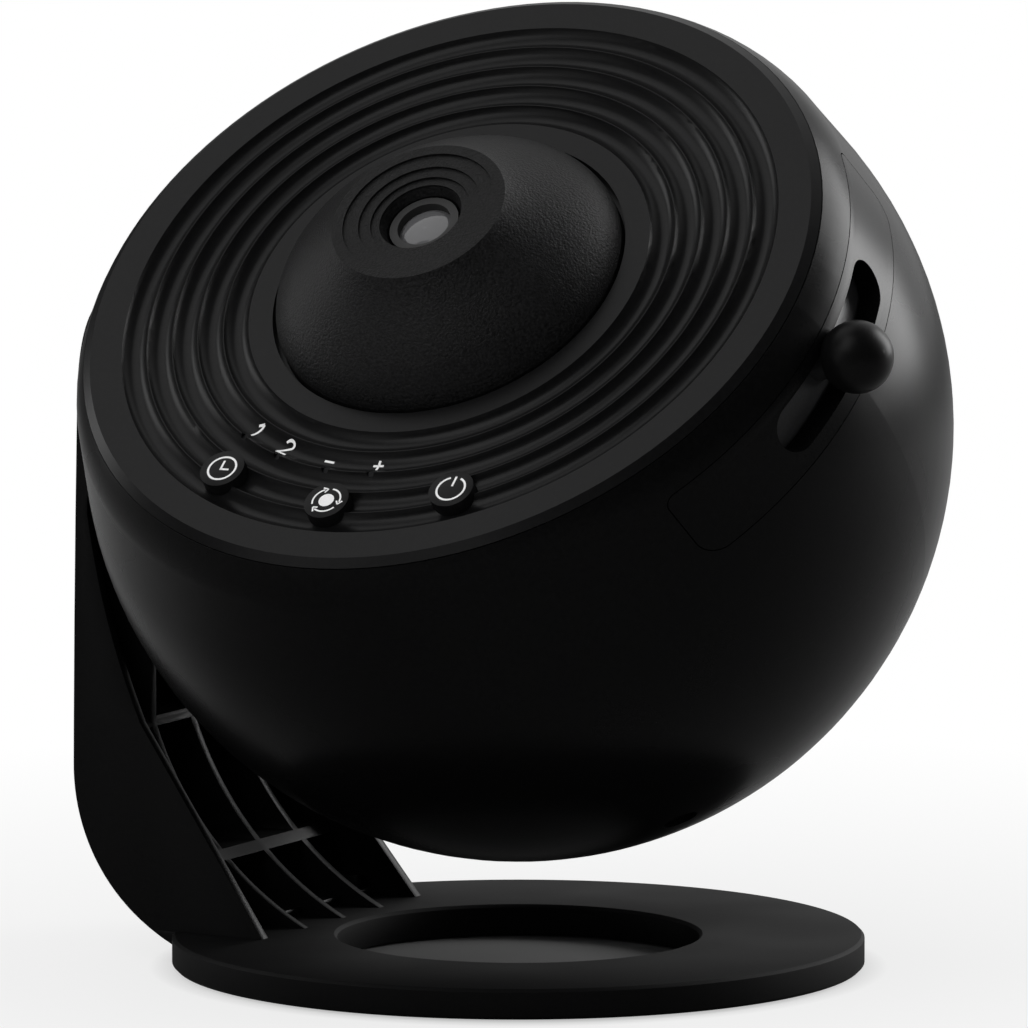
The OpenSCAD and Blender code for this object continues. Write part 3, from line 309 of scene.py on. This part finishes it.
def disc(made, centre, radius, thickness, height, steps=48):
    """A printed dot."""
    rim = [centre + radius * Vector((math.cos(2 * math.pi * i / steps), math.sin(2 * math.pi * i / steps)))
           for i in range(steps)]
    low = [made.verts.new((p.x, p.y, height - thickness)) for p in rim]
    high = [made.verts.new((p.x, p.y, height + thickness)) for p in rim]
    made.faces.new(high)
    made.faces.new(list(reversed(low)))
    for i in range(steps):
        j = (i + 1) % steps
        made.faces.new((low[i], low[j], high[j], high[i]))
    bmesh.ops.recalc_face_normals(made, faces=made.faces)


INK = 0.00004         # how far print stands out
SLANT = 0.15          # lean of the printed figures, as a share of their height
WIDE = 1.28           # how much wider the figures are printed than they are drawn


def settings(name):
    """One of the scene's groups of settings."""
    return getattr(bpy.context.scene, "projector_" + name)


def shared(name, make):
    """A material that several operators use, made once."""
    return bpy.data.materials.get(name) or make()


# ---------------------------------------------------------------- operators

class PROJECTOR_OT_stand(bpy.types.Operator):
    """Finish the ring base, the arm and what is fixed to them"""

    bl_idname = "projector.stand"
    bl_label = "Stand"

    def execute(self, context):
        finish = settings("finish")
        plastic = moulded("stand_plastic", tuple(finish.stand_colour), 0.36, finish.grain, 0.00001,
                          specular=finish.gloss)
        finish_node("stand_arm", plastic, bevel=0.00025)
        matt = moulded("base_plastic", tuple(finish.stand_colour), 0.6, finish.grain, 0.00001,
                       specular=finish.gloss)
        finish_node("base_ring", matt, bevel=0.00025)
        finish_node("pivot_cap", plastic, bevel=0.0004)
        finish_node("base_cover", plastic)
        rubber = moulded("rubber", (0.012, 0.012, 0.012), 0.8, 0.0004, 0.00003, specular=0.3)
        finish_node("foot_pads", rubber, bevel=0.0003)
        return {"FINISHED"}


class PROJECTOR_OT_ball(bpy.types.Operator):
    """Finish the shell of the ball, its side cover and its rear cover"""

    bl_idname = "projector.ball"
    bl_label = "Ball"

    def execute(self, context):
        finish = settings("finish")
        plastic = moulded("ball_plastic", tuple(finish.ball_colour), finish.roughness, 0.0009, 0.000004,
                          uneven=0.02, specular=finish.gloss)
        finish_node("ball_shell", plastic)
        finish_node("rear_cover", plastic)
        cover = moulded("cover_plastic", tuple(finish.ball_colour), finish.roughness - 0.02, 0.0009,
                        0.000004, uneven=0.02, specular=finish.gloss)
        finish_node("side_cover", cover)
        inlet = moulded("inlet_plastic", (0.003, 0.003, 0.003), 0.5, 0.0006, 0.00001, specular=finish.gloss)
        finish_node("power_inlet", inlet, bevel=0.0002)
        return {"FINISHED"}


class PROJECTOR_OT_face(bpy.types.Operator):
    """Finish the grooved face and the light guides in its indicator holes"""

    bl_idname = "projector.face"
    bl_label = "Face"

    def execute(self, context):
        finish = settings("finish")
        plastic = moulded("face_plastic", tuple(finish.face_colour), 0.30, 0.0009, 0.000004,
                          uneven=0.02, specular=finish.gloss * 2)
        finish_node("face_panel", plastic, sharp=24.0)
        guide = moulded("guide_clear", (0.004, 0.004, 0.0045), 0.3, 0.0005, 0.00001, specular=finish.gloss)
        finish_node("indicator_guides", guide)
        return {"FINISHED"}


class PROJECTOR_OT_hood(bpy.types.Operator):
    """Finish the lens hood with its sanded grain"""

    bl_idname = "projector.hood"
    bl_label = "Lens hood"

    def execute(self, context):
        finish = settings("finish")
        plastic = moulded("hood_plastic", tuple(finish.hood_colour), 0.42, 0.0005, 0.00018,
                          specular=finish.gloss * 2.2, speckle=0.85)
        finish_node("lens_hood", plastic)
        return {"FINISHED"}


class PROJECTOR_OT_buttons(bpy.types.Operator):
    """Finish the three push buttons"""

    bl_idname = "projector.buttons"
    bl_label = "Buttons"

    def execute(self, context):
        finish = settings("finish")
        plastic = moulded("button_plastic", tuple(finish.face_colour), 0.38, 0.0006, 0.000006,
                          specular=finish.gloss * 2)
        for name in BUTTONS:
            finish_node(name + "_button", plastic, bevel=0.00025)
        return {"FINISHED"}


class PROJECTOR_OT_symbols(bpy.types.Operator):
    """Print a clock, a turning sign and a power sign on the buttons"""

    bl_idname = "projector.symbols"
    bl_label = "Button symbols"

    def execute(self, context):
        marks = settings("marks")
        ink = shared("button_ink", lambda: print_ink("button_ink"))
        outer, stroke = marks.symbol_radius, marks.stroke
        for name, draw in (("timer", draw_clock), ("rotate", draw_turning), ("power", draw_power)):
            made = bmesh.new()
            top = BUTTONS[name]
            draw(made, Vector((top.x, top.y)), outer - stroke / 2, stroke, lambda x, y: top.z)
            add_piece(name + "_symbol", made, ink, name + "_key", smooth=False)
        return {"FINISHED"}


def print_ink(name):
    """White printing ink with a slightly uneven edge of tone."""
    colour = tuple(settings("finish").ink_colour)
    return moulded(name, colour, 0.5, 0.0004, 0.000002, speckle=0.04)


def draw_clock(made, centre, radius, stroke, height_at):
    """A round dial with two hands."""
    ribbon(made, arc_points(centre, radius, 0, 360, 64)[:-1], stroke, INK, height_at, closed=True)
    hub = centre + Vector((-stroke / 2, -stroke / 2))
    long_hand = line_points(hub - Vector((0, stroke / 2)), hub + Vector((0, radius * 0.75)))
    short_hand = line_points(hub, hub + Vector((radius * 0.6, 0)))
    for hand in (long_hand, short_hand):
        ribbon(made, hand, stroke, INK, height_at)


def draw_turning(made, centre, radius, stroke, height_at):
    """A dot inside three arrows that chase each other."""
    disc(made, centre, radius * 0.55, INK, height_at(centre.x, centre.y))
    for start in (205, 85, -35):
        stop = start - 88
        ribbon(made, arc_points(centre, radius, start, stop, 20), stroke * 0.8, INK, height_at)
        tip = math.radians(stop - 14)
        point = centre + radius * Vector((math.cos(tip), math.sin(tip)))
        for reach in (-1, 1):
            back = math.radians(stop + 4)
            barb = centre + (radius + reach * stroke * 1.5) * Vector((math.cos(back), math.sin(back)))
            ribbon(made, line_points(barb, point, 3), stroke * 0.75, INK, height_at)


def draw_power(made, centre, radius, stroke, height_at):
    """An open ring with a short line in its gap."""
    ribbon(made, arc_points(centre, radius, 112, 428, 60), stroke, INK, height_at)
    ribbon(made, line_points(centre + Vector((0, radius * 0.22)), centre + Vector((0, radius * 1.08))),
           stroke, INK, height_at)


class PROJECTOR_OT_labels(bpy.types.Operator):
    """Print a plain number or sign beside each indicator hole"""

    bl_idname = "projector.labels"
    bl_label = "Indicator marks"

    def execute(self, context):
        marks = settings("marks")
        ink = shared("face_ink", lambda: print_ink("face_ink"))
        for name, turn, strokes in INDICATOR_MARKS:
            made = bmesh.new()
            angle = math.radians(turn)
            out = Vector((math.cos(angle), math.sin(angle)))
            along = Vector((-out.y, out.x))
            middle = marks.label_radius * out
            for path in strokes:
                points = [middle + marks.label_height * (along * (WIDE * u + SLANT * v) - out * v)
                          for u, v in path]
                ribbon(made, points, marks.stroke * 1.15, INK, groove_height)
            add_piece(name + "_mark", made, ink, "ball", smooth=False)
        return {"FINISHED"}


def spread(points, steps=20):
    """Fills in the straight stretches between points."""
    filled = []
    for start, stop in zip(points, points[1:]):
        filled += [tuple(Vector(start).lerp(Vector(stop), i / steps)) for i in range(steps)]
    return filled + [points[-1]]


def bowl(turn_start, turn_stop, centre, radius, steps=16):
    """Points on a round stretch of a figure."""
    return [(centre[0] + radius * math.cos(math.radians(a)), centre[1] + radius * math.sin(math.radians(a)))
            for a in (turn_start + (turn_stop - turn_start) * i / steps for i in range(steps + 1))]


ONE = [spread([(-0.22, 0.28), (0.06, 0.5)], 4), spread([(0.06, 0.5), (0.06, -0.5)])]
TWO = [bowl(165, -35, (0.0, 0.24), 0.26) + spread([(0.2, 0.08), (-0.28, -0.46)])[1:],
       spread([(-0.3, -0.46), (0.3, -0.46)], 5)]
LESS = [spread([(-0.26, 0.0), (0.26, 0.0)], 5)]
MORE = LESS + [spread([(0.0, 0.33), (0.0, -0.33)], 5)]

# plain marks for one or two hours, slower and faster, with each one's turn round the face in degrees
INDICATOR_MARKS = [
    ("one_hour", -120.8, ONE),
    ("two_hours", -110.1, TWO),
    ("slower", -97.3, LESS),
    ("faster", -84.4, MORE),
]


# the face's grooves, as in the CAD part
GROOVE_OUT = 0.06521      # radius of the outer edge of the outermost groove
GROOVE_PITCH = 0.0051
GROOVE_DEPTH = 0.0015
GROOVE_RIDGE = 0.00016    # flat between two grooves
GROOVE_COUNT = 5


def groove_height(x, y):
    """Height of the grooved face over (x, y)."""
    half = (GROOVE_PITCH - GROOVE_RIDGE) / 2
    tool_r = (half ** 2 + GROOVE_DEPTH ** 2) / (2 * GROOVE_DEPTH)
    place = (GROOVE_OUT - math.hypot(x, y)) / GROOVE_PITCH
    off = (place - math.floor(place) - 0.5) * GROOVE_PITCH
    if not 0 <= place < GROOVE_COUNT or abs(off) >= half:
        return FACE_Z
    return FACE_Z + tool_r - GROOVE_DEPTH - math.sqrt(tool_r ** 2 - off ** 2)


class PROJECTOR_OT_focus(bpy.types.Operator):
    """Finish the focus knob, its stem and the shield behind the slot"""

    bl_idname = "projector.focus"
    bl_label = "Focus"

    def execute(self, context):
        gloss = settings("finish").gloss * 1.5
        knob = moulded("knob_plastic", (0.0030, 0.0030, 0.0031), 0.38, 0.0006, 0.000004, specular=gloss)
        finish_node("focus_knob", knob, bevel=0.0003)
        # painted light: the shield's grey is lighter than the black plastic round it, standing in for the
        # light on the slot's floor
        shield = moulded("shield_painted_light", (0.02, 0.02, 0.021), 0.4, 0.0006, 0.000004)
        finish_node("focus_ring", shield)
        return {"FINISHED"}


def inner_plastic():
    """Dull black plastic of the optics."""
    return moulded("inner_plastic", (0.004, 0.004, 0.0042), 0.45, 0.0006, 0.000008,
                   specular=settings("finish").gloss)


class PROJECTOR_OT_optics(bpy.types.Operator):
    """Finish the lenses, the barrel and the frame that carries them"""

    bl_idname = "projector.optics"
    bl_label = "Optics"

    def execute(self, context):
        inner = shared("inner_plastic", inner_plastic)
        for name in ("optics_frame", "condenser_holder", "lens_housing", "lens_barrel",
                     "front_retainer", "rear_retainer"):
            finish_node(name, inner)
        glass = clear_glass("lens_glass", (0.93, 0.95, 0.97))
        for name in ("condenser_lens", "rear_lens"):
            finish_node(name, glass)
        milky = clear_glass("front_lens_glass", (0.15, 0.15, 0.155), clear=0.4)
        finish_node("front_lens", milky)
        film = moulded("film_ink", (0.012, 0.02, 0.06), 0.2, 0.0015, 0.000004, speckle=0.6)
        finish_node("film_disc", film)
        return {"FINISHED"}


class PROJECTOR_OT_inside(bpy.types.Operator):
    """Finish the pieces inside the ball and the stand that show only when it is opened"""

    bl_idname = "projector.inside"
    bl_label = "Inside"

    def execute(self, context):
        gears = moulded("gear_plastic", (0.80, 0.79, 0.74), 0.45, 0.0008, 0.00001, speckle=0.04)
        for name in ("pivot_bush", "disc_carrier", "disc_clip", "motor_pinion"):
            finish_node(name, gears)
        steel = metal("screw_steel", (0.45, 0.46, 0.47), 0.32)
        for name in ("base_screws", "arm_screws", "panel_screws", "rear_cover_screws", "hub_screws",
                     "shaft_screw", "main_board_screws", "frame_screws", "sink_screws",
                     "housing_screws", "motor_screws", "button_board_screws", "cam_pin"):
            finish_node(name, steel)
        turned = metal("shaft_steel", (0.40, 0.41, 0.42), 0.28)
        for name in ("pivot_shaft", "friction_washer", "shaft_washer", "focus_clip",
                     "drive_motor", "motor_shaft"):
            finish_node(name, turned)
        finish_node("base_weight", metal("weight_steel", (0.20, 0.20, 0.21), 0.55))
        finish_node("heat_sink", metal("sink_aluminium", (0.55, 0.56, 0.57), 0.35))
        board = moulded("board_green", (0.02, 0.12, 0.05), 0.35, 0.002, 0.000005, speckle=0.3)
        for name in ("main_board", "button_board"):
            finish_node(name, board)
        silicone = moulded("silicone", (0.75, 0.74, 0.70), 0.6, 0.0008, 0.00001, speckle=0.04)
        finish_node("button_domes", silicone)
        white = moulded("lamp_white", (0.80, 0.80, 0.76), 0.4, 0.001, 0.00001, speckle=0.03)
        finish_node("lamp_board", white)
        yellow = moulded("lamp_yellow", (0.85, 0.72, 0.15), 0.15, 0.0008, 0.000004, speckle=0.05)
        finish_node("lamp_emitter", yellow)
        return {"FINISHED"}


class PROJECTOR_OT_stage(bpy.types.Operator):
    """Set up the floor, the white background, the lamps and the camera"""

    bl_idname = "projector.stage"
    bl_label = "Studio"

    def execute(self, context):
        studio = settings("studio")
        scene = context.scene
        scene.view_settings.view_transform = "Standard"
        make_camera(scene, studio)
        make_world(scene, studio)
        make_floor(scene)
        for name, turn, rise, distance, width, height, power in LAMPS:
            lamp_turn = studio.azimuth + math.radians(turn)
            make_lamp(name, lamp_turn, math.radians(rise), distance, width, height, power)
        return {"FINISHED"}


# name, turn from the camera to the right and rise in degrees, distance, width and height in metres, watts
LAMPS = [
    ("key_left", -42.0, 46.0, 1.2, 0.6, 0.9, 4.8),
    ("soft_top", -119.0, 61.0, 1.3, 0.9, 0.9, 3.1),
    ("low_left", -60.0, 14.0, 1.2, 0.5, 0.8, 1.2),
    ("edge_left", -118.0, 18.0, 1.2, 0.35, 0.8, 2.8),
    ("edge_right", 120.0, 23.0, 1.2, 0.6, 0.9, 17.0),
]


def away(turn, rise):
    """Unit vector from the object towards a place at that turn and rise."""
    return Vector((math.sin(turn) * math.cos(rise), -math.cos(turn) * math.cos(rise), math.sin(rise)))


LENS_MM = 554.35                  # focal length on a sensor 36 mm wide
PICTURE = 1028.0                  # the photograph's width and height in pixels
BALL_PIXEL = (518.36, 426.49)     # where the ball's middle stands in it


def make_camera(scene, studio):
    """The photograph's camera: long lens, aimed a little under the ball."""
    camera_data = bpy.data.cameras.new("camera")
    camera = bpy.data.objects.new("camera", camera_data)
    scene.collection.objects.link(camera)
    camera_data.sensor_width = 36.0
    camera_data.lens = LENS_MM
    camera_data.clip_start = 0.1
    camera_data.clip_end = 50.0
    back = away(studio.azimuth, studio.elevation)
    camera.location = PIVOT + back * studio.distance
    camera.rotation_mode = "QUATERNION"
    camera.rotation_quaternion = (-back).to_track_quat("-Z", "Y")
    camera_data.shift_x = (0.5 * PICTURE - BALL_PIXEL[0]) / PICTURE
    camera_data.shift_y = (BALL_PIXEL[1] - 0.5 * PICTURE) / PICTURE
    scene.camera = camera




def background(tree, strength):
    """A white background shader of a given strength."""
    node = tree.nodes.new("ShaderNodeBackground")
    node.inputs["Color"].default_value = (1, 1, 1, 1)
    node.inputs["Strength"].default_value = strength
    return node.outputs["Background"]


def mixed(tree, factor, first, second):
    """One shader, then another, by a factor."""
    node = tree.nodes.new("ShaderNodeMixShader")
    tree.links.new(factor, node.inputs["Fac"])
    tree.links.new(first, node.inputs[1])
    tree.links.new(second, node.inputs[2])
    return node.outputs["Shader"]


# where the white backdrop stands for reflections, in degrees from the camera to the right and up
BACKDROP_TURN = 148.0
BACKDROP_RISE = 30.0
BACKDROP_EDGE = 0.6    # cosine of the angle at which it has faded out


def make_world(scene, studio):
    """White behind the object, a dark room in front of it in reflections, and soft light from all round."""
    world = bpy.data.worlds.new("studio")
    scene.world = world
    world.use_nodes = True
    tree = world.node_tree
    tree.nodes.clear()
    output = tree.nodes.new("ShaderNodeOutputWorld")
    white = background(tree, studio.backdrop)
    place = tree.nodes.new("ShaderNodeTexCoord")
    towards = tree.nodes.new("ShaderNodeVectorMath")
    towards.operation = "DOT_PRODUCT"
    backdrop_turn = studio.azimuth + math.radians(BACKDROP_TURN)
    towards.inputs[1].default_value = away(backdrop_turn, math.radians(BACKDROP_RISE))
    tree.links.new(place.outputs["Generated"], towards.inputs[0])
    spread_out = tree.nodes.new("ShaderNodeMapRange")
    spread_out.interpolation_type = "SMOOTHSTEP"
    spread_out.inputs["From Min"].default_value = BACKDROP_EDGE
    spread_out.inputs["From Max"].default_value = 1.0
    tree.links.new(towards.outputs["Value"], spread_out.inputs["Value"])
    path = tree.nodes.new("ShaderNodeLightPath")
    mirrored = mixed(tree, spread_out.outputs["Result"], background(tree, studio.room), white)
    lit = mixed(tree, path.outputs["Is Glossy Ray"], background(tree, studio.fill), mirrored)
    seen = tree.nodes.new("ShaderNodeMath")
    seen.operation = "MAXIMUM"
    tree.links.new(path.outputs["Is Camera Ray"], seen.inputs[0])
    tree.links.new(path.outputs["Is Transmission Ray"], seen.inputs[1])
    tree.links.new(mixed(tree, seen.outputs["Value"], lit, white), output.inputs["Surface"])


FLOOR_RADIUS = 6.0
PAPER = (0.32, 0.32, 0.32)            # the floor's colour under the lamps
PAINTED_SHADE_IN_RING = (0.10, 0.10, 0.10)    # painted shade: the floor's colour darkened inside the hole of the ring base, standing in for the ball's shadow there
RING_HOLE = 0.046                     # radius of that hole
# the camera sees the floor's own shade up to the first radius, then a growing share of white
WHITE_FROM, WHITE_NEAR, WHITE_FULL = 0.052, 0.070, 0.30
WHITE_SHARE_NEAR = 0.8


def make_floor(scene):
    """A wide pale floor that takes the projector's shadow and fades into the background, with painted shade
    inside the hole of the ring base.
    """
    made = bmesh.new()
    bmesh.ops.create_circle(made, cap_ends=True, cap_tris=False, segments=96, radius=FLOOR_RADIUS)
    mesh = bpy.data.meshes.new("floor")
    made.to_mesh(mesh)
    made.free()
    floor = bpy.data.objects.new("floor", mesh)
    scene.collection.objects.link(floor)
    material, tree, shader = new_material("floor_paper_and_painted_shade")
    shader.inputs["Roughness"].default_value = 0.9
    shader.inputs["Specular IOR Level"].default_value = 0.1
    place = tree.nodes.new("ShaderNodeTexCoord")
    reach = tree.nodes.new("ShaderNodeVectorMath")
    reach.operation = "LENGTH"
    tree.links.new(place.outputs["Object"], reach.inputs[0])
    fade = tree.nodes.new("ShaderNodeValToRGB")
    fade.color_ramp.elements[0].position = WHITE_FROM
    fade.color_ramp.elements[0].color = (0, 0, 0, 1)
    fade.color_ramp.elements[1].position = WHITE_FULL
    near = fade.color_ramp.elements.new(WHITE_NEAR)
    near.color = (WHITE_SHARE_NEAR, WHITE_SHARE_NEAR, WHITE_SHARE_NEAR, 1)
    tree.links.new(reach.outputs["Value"], fade.inputs["Fac"])
    # painted shade: the floor's colour goes dark inside the ring base's hole, standing in for the ball's
    # shadow there
    paper_and_painted_shade = colour_ramp(tree, reach.outputs["Value"], PAINTED_SHADE_IN_RING, PAPER, RING_HOLE, RING_HOLE + 0.016)
    tree.links.new(paper_and_painted_shade, shader.inputs["Base Color"])
    path = tree.nodes.new("ShaderNodeLightPath")
    share = tree.nodes.new("ShaderNodeMath")
    share.operation = "MULTIPLY"
    tree.links.new(fade.outputs["Color"], share.inputs[0])
    tree.links.new(path.outputs["Is Camera Ray"], share.inputs[1])
    white = tree.nodes.new("ShaderNodeEmission")
    output = tree.nodes["Material Output"]
    tree.links.new(mixed(tree, share.outputs["Value"], shader.outputs["BSDF"], white.outputs["Emission"]),
                   output.inputs["Surface"])
    mesh.materials.append(material)


def make_lamp(name, turn, rise, distance, width, height, power):
    """A soft rectangular lamp that looks at the ball."""
    lamp_data = bpy.data.lights.new(name, "AREA")
    lamp_data.shape = "RECTANGLE"
    lamp_data.size = width
    lamp_data.size_y = height
    lamp_data.energy = power
    lamp = bpy.data.objects.new(name, lamp_data)
    bpy.context.scene.collection.objects.link(lamp)
    direction = away(turn, rise)
    lamp.location = PIVOT + direction * distance
    lamp.rotation_mode = "QUATERNION"
    lamp.rotation_quaternion = direction.to_track_quat("Z", "Y")


class PROJECTOR_PT_panel(bpy.types.Panel):
    """Lists the projector's pieces and settings"""

    bl_idname = "PROJECTOR_PT_panel"
    bl_label = "Projector"
    bl_space_type = "VIEW_3D"
    bl_region_type = "UI"
    bl_category = "Projector"

    def draw(self, context):
        for operator in OPERATORS:
            self.layout.operator(operator.bl_idname)
        for name, group in GROUPS.items():
            box = self.layout.box()
            for key in group.__annotations__:
                box.prop(getattr(context.scene, "projector_" + name), key)


GROUPS = {"finish": ProjectorFinish, "marks": ProjectorMarks, "studio": ProjectorStudio}
OPERATORS = (
    PROJECTOR_OT_stand, PROJECTOR_OT_ball, PROJECTOR_OT_face, PROJECTOR_OT_hood, PROJECTOR_OT_buttons,
    PROJECTOR_OT_symbols, PROJECTOR_OT_labels, PROJECTOR_OT_focus, PROJECTOR_OT_optics,
    PROJECTOR_OT_inside, PROJECTOR_OT_stage,
)


def register():
    """Registers the settings, the operators and the panel."""
    for name, group in GROUPS.items():
        bpy.utils.register_class(group)
        setattr(bpy.types.Scene, "projector_" + name, bpy.props.PointerProperty(type=group))
    for cls in (*OPERATORS, PROJECTOR_PT_panel):
        bpy.utils.register_class(cls)


def unregister():
    """Takes everything back out."""
    for cls in reversed((*OPERATORS, PROJECTOR_PT_panel)):
        bpy.utils.unregister_class(cls)
    for name, group in GROUPS.items():
        delattr(bpy.types.Scene, "projector_" + name)
        bpy.utils.unregister_class(group)


def main():
    """Builds the whole scene."""
    register()
    for operator in OPERATORS:
        group, name = operator.bl_idname.split(".")
        getattr(getattr(bpy.ops, group), name)()


if __name__ == "__main__":
    main()
